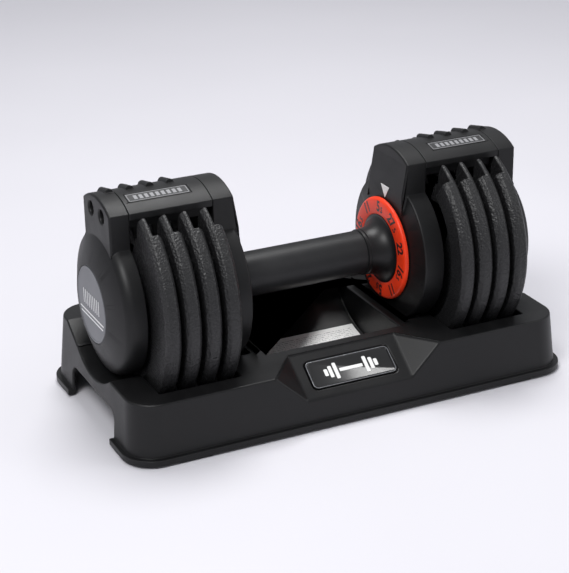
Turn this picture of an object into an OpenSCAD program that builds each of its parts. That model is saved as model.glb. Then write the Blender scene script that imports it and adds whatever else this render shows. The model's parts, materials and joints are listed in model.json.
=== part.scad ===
// Adjustable dumbbell with a twist handle and its storage tray.
// The handle runs along X, the heads carry four plates each, and the tray stands on Z = 0.
// Shapes on the handle are drawn on the X axis and raised to the axis height by on_axis().

/* [Plates] */
// Radius of a weight plate
plate_r = 84; // [74:1:94]
// Thickness of a plate at its rim
plate_t = 12.4; // [9:0.1:15]
// Air gap between two neighbouring plates
plate_gap = 3.7; // [3:0.1:6]
// Thickness of the web behind the selector pocket
web_t = 5.8; // [4:0.1:6.4]
// Radial width of the thick rim
rim_w = 19; // [12:1:24]
// Chamfer on the rim edges
rim_chamfer = 3; // [0.5:0.5:3.5]
// Angle from the top where the thick rim stops
rim_stop_angle = 36.8; // [32:0.2:44]
// Angle from the top where the thin horn stops
horn_angle = 25; // [24:0.5:30]

/* [Handle] */
// Half of the clear distance between the two heads
head_x = 74; // [68:0.5:88]
// Radius of the grip
grip_r = 17.7; // [15:0.1:20]
// Radius of the steel tube inside the grip
tube_r = 13; // [11.5:0.1:14]
// Radius of the drive shaft
shaft_r = 7; // [6:0.1:8]
// Radius of the dial ring
dial_r = 42; // [38:0.5:46]
// Radius of the hub where it meets the dial
hub_r = 28; // [25:0.5:32]
// Radial running clearance of the bushings
run_gap = 0.06; // [0.02:0.01:0.1]

/* [Heads] */
// Radius of the inner housing drum
housing_r = 59; // [55:0.5:62]
// Depth of the inner housing along the handle
housing_d = 17; // [16:0.5:22]
// Radius of the outer cap drum
cap_r = 57; // [53:0.5:60]
// Depth of the outer cap's straight drum
cap_d = 17; // [15:0.5:22]
// How far the domed face stands out past the drum
dome_d = 6.4; // [4:0.2:9]
// Half of the tower's width
tower_w = 27.7; // [24:0.1:30]
// How far the tower's side edge stays below the top of the plates
tower_drop = 7; // [4:0.5:10]
// Rise of the arched top over the side edge
arch_rise = 8; // [6:0.2:14]
// How far the face round the dial stands out from the head
face_rise = 4; // [1:0.2:4.4]
// Wall of the moulded housings
wall = 2.6; // [2:0.1:3.2]
// Radius of the round badge
badge_r = 30; // [24:0.5:32]

/* [Selector] */
// Radius swept by the selector lobes
lobe_r = 31; // [29:0.5:32]
// Half of a lobe's angle
lobe_half = 7.5; // [6:0.5:7.5]
// Radius of a selector disc between its lobes
disc_r = 20; // [18:0.5:22]
// Clearance between the lobes and the plate pocket
pocket_gap = 0.6; // [0.4:0.1:1]
// Travel of the lock slider
lock_travel = 4; // [3:0.5:4.5]
// Radius of the index wheel
wheel_r = 24; // [22:0.5:26]

/* [Tray] */
// How far the bottom flange stands out past the domed ends
end_margin = 8.2; // [6:0.2:20]
// How far the bottom flange stands out past the plates, front and rear
side_margin = 12.7; // [10.5:0.1:20]
// Height from the top of the front and end walls up to the handle axis
front_drop = 48.5; // [46:0.5:52]
// Height from the top of the rear wall up to the handle axis
rear_drop = 36; // [32:0.5:42]
// Height of the plates' lowest point over the table
seat_h = 12; // [11:0.5:20]
// Wall of the tray
tray_wall = 3; // [2.5:0.1:3.5]
// Gap between a plate and the floor of its well
well_gap = 3; // [2:0.5:4]
// Height of the trough's floor under the grip
trough_floor = 15; // [12:0.5:20]
// Width of the sloped panel on the front
panel_w = 92; // [80:1:100]
// Depth of the sloped panel, front to rear
panel_run = 33; // [30:0.5:36]
// Height of the sloped panel
panel_rise = 23.5; // [20:0.5:26]

/* [Hidden] */
$fn = 96;
eps = 0.01;
axis_z = seat_h + plate_r;                 // height of the handle axis
plate_count = 4;
tower_h = plate_r - tower_drop;            // side edge of the towers over the axis
tray_w = 2 * (plate_r + side_margin);
front_h = axis_z - front_drop;
rear_h = axis_z - rear_drop;
trough_r = axis_z - trough_floor;
pitch = plate_t + plate_gap;
plate_x = head_x + housing_d + 2;          // inner face of the first plate
stack_end = plate_x + plate_count * pitch - plate_gap;
cap_x = stack_end + plate_gap;             // inner face of the outer cap
cap_face_x = cap_x + cap_d;
dome_x = cap_face_x + dome_d;
tray_l = 2 * (dome_x + end_margin);
tower_x = cap_face_x - 1.4;                // outer face of the cap's tower
arch_r = (tower_w * tower_w + arch_rise * arch_rise) / (2 * arch_rise);
arch_z = tower_h + arch_rise - arch_r;     // centre of the arch over the axis
side_gap = 0.3;                            // between parts that move past each other
disc_x = 1;                                // selector disc behind its plate's inner face
disc_t = plate_t - web_t - 2;
pocket_r = lobe_r + pocket_gap;
lobe_reach = 54 + lobe_half;               // widest angle of a parked lobe
slot_w = lobe_r * sin(lobe_reach) + 0.45;  // half width of the plate's open pocket
spacer_r = shaft_r + 5.5;
through_w = spacer_r + 1;                  // half width of the slot through the web
web_top = tower_h - 19;                    // flat top of the web between the horns
horn_w = tower_w + 3.3;                    // inner side of the horns
steps = 10;                                // settings per turn, and the angle of one
step_a = 360 / steps;
tube_end = head_x + 5;
wheel_x = tube_end + 0.5;                  // index wheel, in the right housing
back_t = 2;                                // housing back cover
lock_t = (head_x + housing_d - back_t - 1.5 - wheel_x) / 2;
click_t = lock_t;                          // the wheel's two layers
detent_r = click_t / 2 - 0.1;              // ball and spring of the click detent
screw_r = 3;
screw_y = 11;
screw_z = tower_h - 4.5;                    // tie screws over the axis
screw_head_r = 5;
screw_head_l = 4;
screw_seat = tower_x - 8;
bar_z = tower_h - 15;                      // underside and top of the bridge bar
bar_top = tower_h + 1.2;
bar_w = screw_y + 5;                       // and its half width
cover_x = head_x + housing_d + side_gap;   // top cover and bridge bar
cover_l = cap_x - side_gap - cover_x;
label = [cover_l - 15.8, 12, 1];           // recess on the top cover, and its depth
label_a = asin(11.5 / arch_r);             // its tilt on the arch
label_x = (plate_x + cap_x) / 2 + 3;
dial_x = head_x - 9;                       // front of the dial ring
dial_t = 4;
hub_x = dial_x - 19;                       // where the grip meets the hub
grip_end = head_x - 8;                     // left end of the grip
saddle_gap = 3;
saddle_x = head_x - face_rise - 2;          // start of the heads' saddles
well_r = plate_r + well_gap;
well_x = plate_x - 1.5;
well_end = cap_x - 0.6;
rib_t = plate_gap - 1.1;
flange_z = 1.5;
flange_t = 5;
flange_rr = 25.5;
flange_out = 3;                            // how far the flange stands out past the walls
body_l = tray_l - 2 * flange_out;
body_w = tray_w - 2 * flange_out - 0.4;
draft = 0.1;
trough_x = head_x - 16;                    // trough under the grip
panel_low_y = body_w / 2 - 2.5;            // the sloped panel's two edges
panel_top_y = panel_low_y - panel_run;
panel_low_z = front_h - panel_rise;
panel_side = 28;                           // width of the facets beside it
panel_a = atan(panel_rise / panel_run);
lip_y = panel_top_y - 12;                  // front edge of the trough
nameplate = [72, 24, 1.6];
leg_low = housing_r - 1.4;                 // foot of the lock slider below the axis
dome_round = 9;                            // rounding between the cap's drum and its face
rib_r = 3.2;                               // ribs across the rear of the top
rib_l = 18;
rib_x = head_x + housing_d + 21.5;         // the first of them
rib_pitch = 16.1;
hand_arch = [cap_r - 11, axis_z - cap_r - saddle_gap - 9, 8];  // half width, height, corner
fin_low = 17;                              // angles from the bottom where a fin starts and ends
fin_high = 49;
pad_low = 21;                              // and a pad
pad_high = 31;
post_h = 14;

// ---- placing helpers -------------------------------------------------

// puts a flat outline (Y, Z) on the handle axis and grows it along +X from x
module on_axis(x) { translate([x, 0, axis_z]) rotate([90, 0, 90]) children(); }

// the left head is the right head's mirror image
module side(name) {
    if (name == "left") mirror([1, 0, 0]) children();
    else children();
}

module rod(x, len, r) { on_axis(x) cylinder(h = len, r = r); }

module tube(x, len, r, bore) {
    on_axis(x) difference() {
        cylinder(h = len, r = r);
        translate([0, 0, -1]) cylinder(h = len + 2, r = bore);
    }
}

// a pie slice of the plane, from angle a to b, measured from the top
module slice2d(a, b, r) {
    polygon(concat([[0, 0]], [for (i = [0:8]) let (t = a + (b - a) * i / 8) r * [sin(t), cos(t)]]));
}

// a helix of round wire along Z, as one closed tube
module coil(r, wire, len, turns) {
    n = 14 * turns;
    m = 6;
    pts = [for (i = [0:n], j = [0:m - 1])
        let (a = 360 * i / 14, b = 360 * j / m, q = r + wire * cos(b))
        [q * cos(a), q * sin(a), wire + (len - 2 * wire) * i / n + wire * sin(b)]];
    sides = [for (i = [0:n - 1], j = [0:m - 1])
        [i * m + j, i * m + (j + 1) % m, (i + 1) * m + (j + 1) % m, (i + 1) * m + j]];
    caps = [[for (j = [m - 1:-1:0]) j], [for (j = [0:m - 1]) n * m + j]];
    polyhedron(points = pts, faces = concat(sides, caps), convexity = 10);
}

// ---- the heads -------------------------------------------------------

// the arched tower seen along the handle, drawn in by a wall thickness
module tower2d(inset = 0) {
    intersection() {
        translate([-tower_w + inset, 0]) square([2 * (tower_w - inset), tower_h + arch_rise]);
        union() {
            translate([0, arch_z]) circle(r = arch_r - inset);
            translate([-tower_w, 0]) square([2 * tower_w, arch_z]);
        }
    }
}

module head2d(r, inset = 0) {
    circle(r = r - inset);
    tower2d(inset);
}

module screw_pair(x, len, r) {
    for (y = [-screw_y, screw_y])
        on_axis(x) translate([y, screw_z, 0]) cylinder(h = len, r = r, $fn = 32);
}

// casing next to the hand, with the boss for the handle's bushing
module inner_housing(name) {
    color([0.12, 0.12, 0.13]) side(name) difference() {
        union() {
            difference() {
                on_axis(head_x) linear_extrude(housing_d) head2d(housing_r);
                on_axis(head_x + wall) linear_extrude(housing_d) head2d(housing_r, wall);
            }
            on_axis(head_x + wall) linear_extrude(housing_d - wall - back_t)
                difference() {
                    intersection() {
                        tower2d(1);
                        translate([-tower_w, bar_z]) square([2 * tower_w, arch_rise + 20]);
                    }
                    translate([-tower_w, -200]) square([2 * tower_w, 200]);
                }
            if (name == "right") detent_sleeve();
            raised_face();
        }
        rod(head_x - 1, 12, tube_r + 3);
        screw_pair(head_x + 5, 30, screw_r + 0.1);
        if (name == "right") {
            translate([wheel_x + click_t, -4.5, axis_z - housing_r - 1]) cube([lock_t + 1, 9, 10]);
        }
    }
}

// cone round the dial, with a ramp up the tower that carries the pointer
module raised_face() {
    open_r = dial_r - 3.5;
    difference() {
        union() {
            on_axis(0) rotate_extrude()
                polygon([[open_r, head_x + 1], [open_r, head_x - face_rise],
                    [dial_r + 2, head_x - face_rise], [housing_r - 2, head_x], [housing_r - 2, head_x + 1]]);
            translate([0, tower_w, 0]) rotate([90, 0, 0]) linear_extrude(2 * tower_w)
                polygon([[head_x + 1, axis_z + tower_h - 4], [head_x, axis_z + tower_h - 1],
                    [head_x - face_rise, axis_z + tower_h - 25], [head_x - face_rise, axis_z + dial_r - 8],
                    [head_x + 1, axis_z + dial_r - 8]]);
        }
        rod(head_x - face_rise - 1, face_rise + 3, open_r);
    }
}

// cross tube that holds the detent's ball and spring beside the wheel
module detent_sleeve() {
    translate([wheel_x + click_t / 2, wheel_r + 4, axis_z]) rotate([-90, 0, 0]) difference() {
        cylinder(h = housing_r - wheel_r - 5, r = detent_r + 1.3, $fn = 32);
        translate([0, 0, -1]) cylinder(h = 18, r = detent_r + 0.2, $fn = 32);
    }
}

module housing_back(name) {
    color([0.1, 0.1, 0.11]) side(name) difference() {
        on_axis(head_x + housing_d - back_t) linear_extrude(back_t) head2d(housing_r, wall + 0.1);
        rod(head_x + housing_d - 5, 10, spacer_r + 1);
        screw_pair(head_x, 40, screw_r + 0.1);
    }
}

// the cap's turned half outline: radius and distance along the handle
function arc(cx, cy, r, a, b, n) =
    [for (i = [0:n]) let (t = a + (b - a) * i / n) [cx + r * cos(t), cy + r * sin(t)]];

module cap_solid(inset) {
    open_x = cap_x - (inset > 0 ? 1 : 0);
    on_axis(0) rotate_extrude()
        polygon(concat(
            [[0, open_x], [cap_r - inset, open_x]],
            arc(cap_r - dome_round, cap_face_x - dome_round, dome_round - inset, 0, 68, 6),
            [[badge_r + 2, dome_x - inset], [0, dome_x - inset]]));
    on_axis(open_x) linear_extrude(tower_x - open_x - inset) tower2d(inset);
}

module outer_cap(name) {
    color([0.13, 0.13, 0.14]) side(name) difference() {
        union() {
            difference() {
                cap_solid(0);
                cap_solid(wall);
            }
            rod(cap_x + 2, dome_x - cap_x - 3, shaft_r + 7);
            intersection() {
                top_rib(3);
                translate([cap_x, 0, axis_z]) cube([cap_d, tower_w, 2 * tower_h]);
            }
            intersection() {
                on_axis(cap_x) linear_extrude(tower_x - cap_x - 1) tower2d(1);
                translate([cap_x, -tower_w, axis_z + bar_z]) cube([20, 2 * tower_w, 40]);
            }
        }
        rod(cap_x + 2, 30, shaft_r + 4);
        rod(dome_x - 1.4, 5, badge_r + 0.2);
        screw_pair(cap_x - 1, 30, screw_r + 0.2);
        screw_pair(screw_seat, 30, screw_head_r + 0.2);
    }
}

module cap_badge(name) {
    color([0.75, 0.76, 0.78]) side(name) rod(dome_x - 1.4, 1.6, badge_r);
}

module on_arch(angle) {
    translate([label_x, 0, axis_z + arch_z]) rotate([angle, 0, 0])
        translate([0, 0, arch_r]) children();
}

// arched cover between the housing and the cap, with ribs on its rear half
module top_cover(name) {
    color([0.12, 0.12, 0.13]) side(name) difference() {
        union() {
            on_axis(cover_x) linear_extrude(cover_l) difference() {
                intersection() {
                    tower2d();
                    translate([-tower_w, tower_h - 5]) square([2 * tower_w, 40]);
                }
                intersection() {
                    tower2d(wall + 0.6);
                    translate([-tower_w, 0]) square([2 * tower_w, tower_h + 3]);
                }
            }
            for (i = [0:2]) top_rib(i);
        }
        on_arch(label_a) translate([-label[0] / 2, -label[1] / 2, -label[2]])
            cube([label[0], label[1], 5]);
    }
}

module top_rib(i) {
    translate([rib_x + i * rib_pitch, 0, axis_z + arch_z]) rotate([-label_a, 0, 0])
        translate([0, rib_l / 2, arch_r - 1]) rotate([90, 0, 0]) linear_extrude(rib_l) intersection() {
            circle(r = rib_r, $fn = 32);
            translate([-rib_r - 1, -0.5]) square([2 * rib_r + 2, rib_r + 1]);
        }
}

module cover_label(name) {
    color([0.2, 0.2, 0.21]) side(name) on_arch(label_a)
        translate([-label[0] / 2 + 0.5, -label[1] / 2 + 0.5, -label[2]])
            cube([label[0] - 1, label[1] - 1, 0.6]);
}

// steel bar that carries the load from housing to cap
module bridge_bar(name) {
    color([0.08, 0.08, 0.09]) side(name) difference() {
        translate([cover_x, -bar_w, axis_z + bar_z]) cube([cover_l, 2 * bar_w, bar_top - bar_z]);
        screw_pair(head_x, 120, screw_r + 0.1);
    }
}

module tie_screws(name) {
    color([0.3, 0.3, 0.32]) side(name) {
        screw_pair(head_x + 8, screw_seat - head_x - 8, screw_r);
        for (y = [-screw_y, screw_y]) on_axis(screw_seat) translate([y, screw_z, 0]) difference() {
            cylinder(h = screw_head_l, r = screw_head_r, $fn = 32);
            translate([0, 0, screw_head_l - 2]) cylinder(h = 5, r = 2.6, $fn = 6);
        }
    }
}

module bushings(name) {
    color([0.75, 0.6, 0.3]) side(name) {
        tube(head_x - 0.2, wall + 2, tube_r + 3, tube_r + run_gap);
        tube(cap_x + 2.2, 8, shaft_r + 4, shaft_r + run_gap);
    }
}

module pointer_mark() {
    color("white") on_axis(head_x - face_rise - 0.4) translate([0, dial_r + 5.8, 0])
        linear_extrude(0.4) polygon([[-6.5, 5], [6.5, 5], [0, -5]]);
}

module detent_ball() {
    color([0.7, 0.7, 0.72]) translate([wheel_x + click_t / 2, wheel_r + detent_r + side_gap, axis_z])
        sphere(r = detent_r, $fn = 32);
}

module detent_spring() {
    color([0.6, 0.6, 0.62]) translate([wheel_x + click_t / 2, wheel_r + 5, axis_z])
        rotate([-90, 0, 0]) coil(detent_r - 0.4, 0.35, 15.5, 8);
}

// ---- what turns with the handle --------------------------------------

module drive_shaft() {
    end = dome_x - 3;
    color([0.6, 0.6, 0.63]) rod(-end, 2 * end, shaft_r);
}

module handle_tube() {
    color([0.55, 0.55, 0.58]) tube(-tube_end, 2 * tube_end, tube_r, shaft_r);
}

module handle_grip() {
    color([0.13, 0.13, 0.14]) {
        tube(-grip_end, grip_end + hub_x, grip_r, tube_r);
        tube(-grip_end, 2.4, grip_r + 1.2, grip_r - 1);
    }
}

module end_collar() {
    color([0.75, 0.75, 0.78]) tube(-head_x + 0.6, head_x - 0.6 - grip_end, grip_r - 1.4, tube_r);
}

// bell that swells from the grip to the dial
module hub_cone() {
    neck = [grip_r + 1, hub_x + 1.5];
    back = [dial_r - 5, head_x - 0.5];
    color([0.11, 0.11, 0.12]) on_axis(0) rotate_extrude()
        polygon(concat(
            [[tube_r, hub_x], [neck[0] - 0.4, hub_x]],
            [for (i = [0:8]) let (t = 90 * i / 8)
                neck + [(hub_r - neck[0]) * (1 - cos(t)), (dial_x - neck[1]) * sin(t)]],
            [[hub_r, dial_x + dial_t], [back[0], dial_x + dial_t], back, [tube_r, back[1]]]));
}

module dial_ring() {
    color([0.95, 0.3, 0.1]) on_axis(0) rotate_extrude()
        polygon([[hub_r, dial_x + 0.6], [hub_r + 0.6, dial_x], [dial_r - 2, dial_x],
            [dial_r - 0.6, dial_x + 0.7], [dial_r, dial_x + 2],
            [dial_r, dial_x + dial_t], [hub_r, dial_x + dial_t]]);
}

module dial_marks() {
    color([0.1, 0.1, 0.1]) for (i = [0:steps - 1])
        on_axis(dial_x - 0.2) rotate([0, 0, i * step_a]) translate([-1, hub_r + 3, 0])
            cube([2, dial_r - hub_r - 7, 0.2]);
}

// two wheels in one: ten clicks for the ball, twenty slots for the lock tooth
module index_wheel() {
    color([0.65, 0.65, 0.68]) on_axis(wheel_x) difference() {
        union() {
            difference() {
                cylinder(h = click_t, r = wheel_r);
                for (i = [0:steps - 1]) rotate([0, 0, i * step_a]) translate([wheel_r + 1.2, 0, -1])
                    cylinder(h = click_t + 2, r = 2.6, $fn = 24);
            }
            translate([0, 0, click_t]) difference() {
                cylinder(h = lock_t, r = wheel_r);
                for (i = [0:2 * steps - 1]) rotate([0, 0, i * step_a / 2])
                    translate([-1.45, wheel_r - lock_travel, -1]) cube([2.9, 10, lock_t + 2]);
            }
        }
        translate([0, 0, -1]) cylinder(h = 20, r = shaft_r);
    }
}

// each disc's lobes, one pair for every setting that brings them level under the shoulders
function lobes(i) = [for (k = [1:plate_count + 1 - i]) step_a * k - 90];

module selector_disc(name, i) {
    color([0.5, 0.5, 0.53]) side(name) on_axis(plate_x + (i - 1) * pitch + disc_x) difference() {
        linear_extrude(disc_t) union() {
            circle(r = disc_r);
            intersection() {
                circle(r = lobe_r);
                for (a = lobes(i), h = [0, 180]) rotate([0, 0, a + h])
                    slice2d(-lobe_half, lobe_half, 2 * lobe_r);
            }
        }
        translate([0, 0, -1]) cylinder(h = 20, r = shaft_r);
    }
}

module spacers(name) {
    first = head_x + housing_d - back_t;
    last = plate_x + disc_x + (plate_count - 1) * pitch + disc_t;
    color([0.3, 0.3, 0.32]) side(name) {
        tube(first, plate_x + disc_x - first, spacer_r, shaft_r);
        for (i = [1:plate_count - 1]) tube(last - i * pitch, pitch - disc_t, spacer_r, shaft_r);
        tube(last, cap_x + 1.5 - last, shaft_r + 2.5, shaft_r);
    }
}

module shaft_nuts() {
    color([0.7, 0.7, 0.72]) for (s = ["left", "right"]) side(s)
        on_axis(cap_x + 10.6) difference() {
            cylinder(h = 5, r = shaft_r + 3.2, $fn = 6);
            translate([0, 0, -1]) cylinder(h = 10, r = shaft_r);
        }
}

// ---- lock ------------------------------------------------------------

module lock_slider() {
    r = wheel_r + 1;
    t = lock_t - 0.6;
    color([0.85, 0.5, 0.15]) on_axis(wheel_x + click_t + 0.3) linear_extrude(t) {
        difference() {
            translate([-r - 2.5, -r - 6]) square([2 * r + 5, 2 * r + lock_travel + 11]);
            circle(r = r);
            translate([0, lock_travel]) circle(r = r);
            translate([-r, 0]) square([2 * r, lock_travel]);
        }
        translate([-1.1, wheel_r + 0.5]) square([2.2, lock_travel + 4]);
        translate([-4, -leg_low]) square([8, leg_low - r - 3]);
    }
}

module lock_spring() {
    low = wheel_r + lock_travel + 6.1;
    color([0.6, 0.6, 0.62]) translate([wheel_x + click_t + lock_t / 2, 0, axis_z + low])
        coil(2.8, 0.5, bar_z - low - 0.2, 7);
}

// ---- plates ----------------------------------------------------------

module plate_blank() {
    c = rim_chamfer;
    rotate_extrude() union() {
        polygon([[plate_r - rim_w, 0], [plate_r - c, 0], [plate_r, c], [plate_r, plate_t - c],
            [plate_r - c, plate_t], [plate_r - rim_w, plate_t]]);
        translate([0, plate_t - web_t]) square([plate_r - rim_w + 1, web_t]);
        translate([0, 0]) square([pocket_r + 6, plate_t]);
    }
}

// a plate hangs from its two shoulders when the disc's lobes sit under them
module plate(name, i) {
    big = 2 * plate_r;
    color([0.2, 0.2, 0.21]) side(name) on_axis(plate_x + (i - 1) * pitch) difference() {
        plate_blank();
        translate([0, 0, -1]) linear_extrude(plate_t - web_t + 1) union() {
            circle(r = pocket_r);
            translate([-slot_w, 0]) square([2 * slot_w, big]);
        }
        translate([0, 0, -1]) linear_extrude(plate_t + 2) union() {
            circle(r = through_w);
            translate([-through_w, 0]) square([2 * through_w, big]);
            translate([-horn_w, web_top]) square([2 * horn_w, big]);
            slice2d(-horn_angle, horn_angle, big);
        }
        translate([0, 0, -1]) linear_extrude(plate_t - web_t + 1)
            intersection() {
                slice2d(-rim_stop_angle, rim_stop_angle, big);
                translate([-big, plate_r - rim_w - 12]) square([2 * big, big]);
            }
    }
}

// ---- tray ------------------------------------------------------------

module rounded2d(l, w, r) {
    for (x = [-1, 1], y = [-1, 1]) translate([x * (l / 2 - r), y * (w / 2 - r)]) circle(r = r, $fn = 48);
    square([l - 2 * r, w], center = true);
    square([l, w - 2 * r], center = true);
}

// drafted block with rounded corners
module tray_block(inset, top) {
    l = body_l - 2 * inset;
    w = body_w - 2 * inset;
    r = flange_rr - 3 - inset;
    hull() for (z = [flange_z - (inset > 0 ? 2 : 0), top]) translate([0, 0, z])
        linear_extrude(eps) rounded2d(l - 1.4 * draft * z, w - 2 * draft * z, r);
}

// where the walls step up from the front height to the rear height
module tray_skyline(drop) {
    big = tray_w;
    far = tray_l;
    for (part = [[far, cap_r - 21, cap_r + 3], [2 * well_end, plate_r - 18, plate_r - 10]])
        intersection() {
            rotate([90, 0, 90]) translate([0, 0, -far / 2]) linear_extrude(far)
                polygon([[-big, -5], [-big, front_h - drop], [part[1], front_h - drop],
                    [part[2], rear_h - drop], [big, rear_h - drop], [big, -5]]);
            if (part[0] == far) for (s = [-1, 1]) translate([s * (well_end + far / 2), 0, 0])
                cube([far, 2 * big, 4 * rear_h], center = true);
            else cube([part[0], 2 * big, 4 * rear_h], center = true);
        }
}

// round hollows around the handle axis, grown by the wall for the underside
module tray_hollows(grow) {
    g = grow;
    intersection() {
        rod(-trough_x - g, 2 * (trough_x + g), trough_r + g);
        translate([-tray_l, -lip_y - g, 0]) cube([2 * tray_l, tray_w, tray_w]);
    }
    for (s = ["left", "right"]) side(s) {
        rod(saddle_x - g, head_x + housing_d + 2 - saddle_x + 2 * g, housing_r + saddle_gap + g);
        rod(well_x - g, well_end - well_x + 2 * g, well_r + g);
        rod(well_end - 1, tray_l, cap_r + saddle_gap + g);
    }
}

// wedge cut away in front of the sloped panel
module panel_wedge(g) {
    w = panel_w / 2 + g;
    front = body_w / 2;
    hull() for (s = [-1, 1]) {
        translate([s * (w - 1), -front + 0.2, panel_low_z - 1.2 - 1.4 * g]) cube(0.1, center = true);
        translate([s * w, -panel_top_y + g, front_h - 0.7 * g]) cube(0.1, center = true);
        translate([s * w, -panel_top_y + g, rear_h + 9]) cube(0.1, center = true);
        translate([s * (w + panel_side), -front + 0.2, front_h - g]) cube(0.1, center = true);
        translate([s * (w + panel_side), -front + 0.2, rear_h + 9]) cube(0.1, center = true);
    }
}

module arch2d() {
    w = hand_arch[0];
    h = hand_arch[1];
    r = hand_arch[2];
    translate([-w, -5]) square([2 * w, h - r + 5]);
    translate([-w + r, 0]) square([2 * (w - r), h]);
    for (s = [-1, 1]) translate([s * (w - r), h - r]) circle(r = r, $fn = 32);
}

// fins that keep the plates upright in the gaps, and the pads they stand on
module well_fins() {
    for (s = ["left", "right"]) side(s) {
        for (i = [0:plate_count - 2])
            on_axis(plate_x + plate_t + plate_gap / 2 - rib_t / 2 + i * pitch) linear_extrude(rib_t)
                fin2d(plate_r - 9, fin_low, fin_high);
        on_axis(well_x - 1) linear_extrude(well_end - well_x + 2)
            fin2d(plate_r + side_gap, pad_low, pad_high);
    }
}

module fin2d(r, a, b) {
    for (s = [-1, 1]) intersection() {
        difference() {
            circle(r = well_r + 1);
            circle(r = r);
        }
        slice2d(180 - s * a, 180 - s * b, 3 * well_r);
    }
}

// post that lifts the lock slider while the dumbbell is docked
module lock_post() {
    translate([wheel_x + click_t + 0.6, -3.4, axis_z - leg_low - 0.4 - post_h])
        cube([lock_t - 1.2, 6.8, post_h]);
}

module underside_ribs() {
    for (s = ["left", "right"], k = [-2:2]) side(s)
        intersection() {
            translate([well_end + 1, 16.5 * k - 1, 8]) cube([18, 2, front_h]);
            difference() {
                tray_block(tray_wall / 2, rear_h);
                rod(well_end - 1, tray_l, cap_r + saddle_gap + 1);
            }
            rod(well_end - 5, 60, plate_r - 4);
        }
}

module nameplate2d(grow) {
    r = 4;
    w = nameplate[0] + 2 * grow;
    h = nameplate[1] + 2 * grow;
    for (x = [-1, 1], y = [-1, 1]) translate([x * (w / 2 - r), y * (h / 2 - r)]) circle(r = r, $fn = 24);
    square([w - 2 * r, h], center = true);
    square([w, h - 2 * r], center = true);
}

module on_panel() {
    translate([0, -(panel_low_y + panel_top_y) / 2, (front_h + panel_low_z) / 2])
        rotate([panel_a, 0, 0]) children();
}

module tray_shell() {
    color([0.14, 0.14, 0.15]) {
        difference() {
            union() {
                intersection() {
                    tray_block(0, rear_h + 15);
                    tray_skyline(0);
                }
                translate([0, 0, flange_z]) linear_extrude(flange_t)
                    rounded2d(tray_l, tray_w, flange_rr);
            }
            difference() {
                intersection() {
                    tray_block(tray_wall, rear_h + 1);
                    tray_skyline(tray_wall);
                }
                tray_hollows(tray_wall);
                panel_wedge(tray_wall);
            }
            tray_hollows(0);
            panel_wedge(0);
            on_panel() translate([0, 0, -1.2]) linear_extrude(20) nameplate2d(0.6);
            for (s = ["left", "right"]) side(s) translate([well_end + 4, 0, 0])
                rotate([90, 0, 90]) linear_extrude(tray_l) arch2d();
        }
        well_fins();
        lock_post();
        underside_ribs();
    }
}

module tray_feet() {
    foot = [26, 6, flange_z];
    color([0.05, 0.05, 0.05]) for (x = [-1, 1], y = [-1, 1])
        translate([x * (tray_l / 2 - 50) - foot[0] / 2, y * (tray_w / 2 - 5) - foot[1] / 2, 0]) cube(foot);
}

module tray_nameplate() {
    color([0.03, 0.03, 0.03]) on_panel() translate([0, 0, -1.2])
        linear_extrude(nameplate[2]) nameplate2d(0);
}

module tray_sticker() {
    color("white") intersection() {
        tube(-trough_x + 3, 2 * (trough_x - 3), trough_r - 0.06, trough_r - 0.36);
        translate([-trough_x, -10, 0]) cube([2 * trough_x, 38, axis_z - 20]);
    }
}

tray_shell();
tray_feet();
tray_nameplate();
tray_sticker();
inner_housing("left");  // left_inner_housing
inner_housing("right");  // right_inner_housing
housing_back("left");  // left_housing_back
housing_back("right");  // right_housing_back
outer_cap("left");  // left_outer_cap
outer_cap("right");  // right_outer_cap
cap_badge("left");  // left_cap_badge
cap_badge("right");  // right_cap_badge
top_cover("left");  // left_top_cover
top_cover("right");  // right_top_cover
cover_label("left");  // left_cover_label
cover_label("right");  // right_cover_label
bridge_bar("left");  // left_bridge_bar
bridge_bar("right");  // right_bridge_bar
tie_screws("left");  // left_tie_screws
tie_screws("right");  // right_tie_screws
bushings("left");  // left_bushings
bushings("right");  // right_bushings
pointer_mark();
detent_ball();
detent_spring();
drive_shaft();
handle_tube();
handle_grip();
hub_cone();
dial_ring();
dial_marks();
end_collar();
index_wheel();
spacers("left");  // left_spacers
spacers("right");  // right_spacers
shaft_nuts();
selector_disc("left", 1);  // left_disc_1
selector_disc("left", 2);  // left_disc_2
selector_disc("left", 3);  // left_disc_3
selector_disc("left", 4);  // left_disc_4
selector_disc("right", 1);  // right_disc_1
selector_disc("right", 2);  // right_disc_2
selector_disc("right", 3);  // right_disc_3
selector_disc("right", 4);  // right_disc_4
lock_slider();
lock_spring();
plate("left", 1);  // left_plate_1
plate("left", 2);  // left_plate_2
plate("left", 3);  // left_plate_3
plate("left", 4);  // left_plate_4
plate("right", 1);  // right_plate_1
plate("right", 2);  // right_plate_2
plate("right", 3);  // right_plate_3
plate("right", 4);  // right_plate_4
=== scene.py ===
"""Looks of an adjustable dumbbell in its storage tray, built round its fixed frame."""

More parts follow.
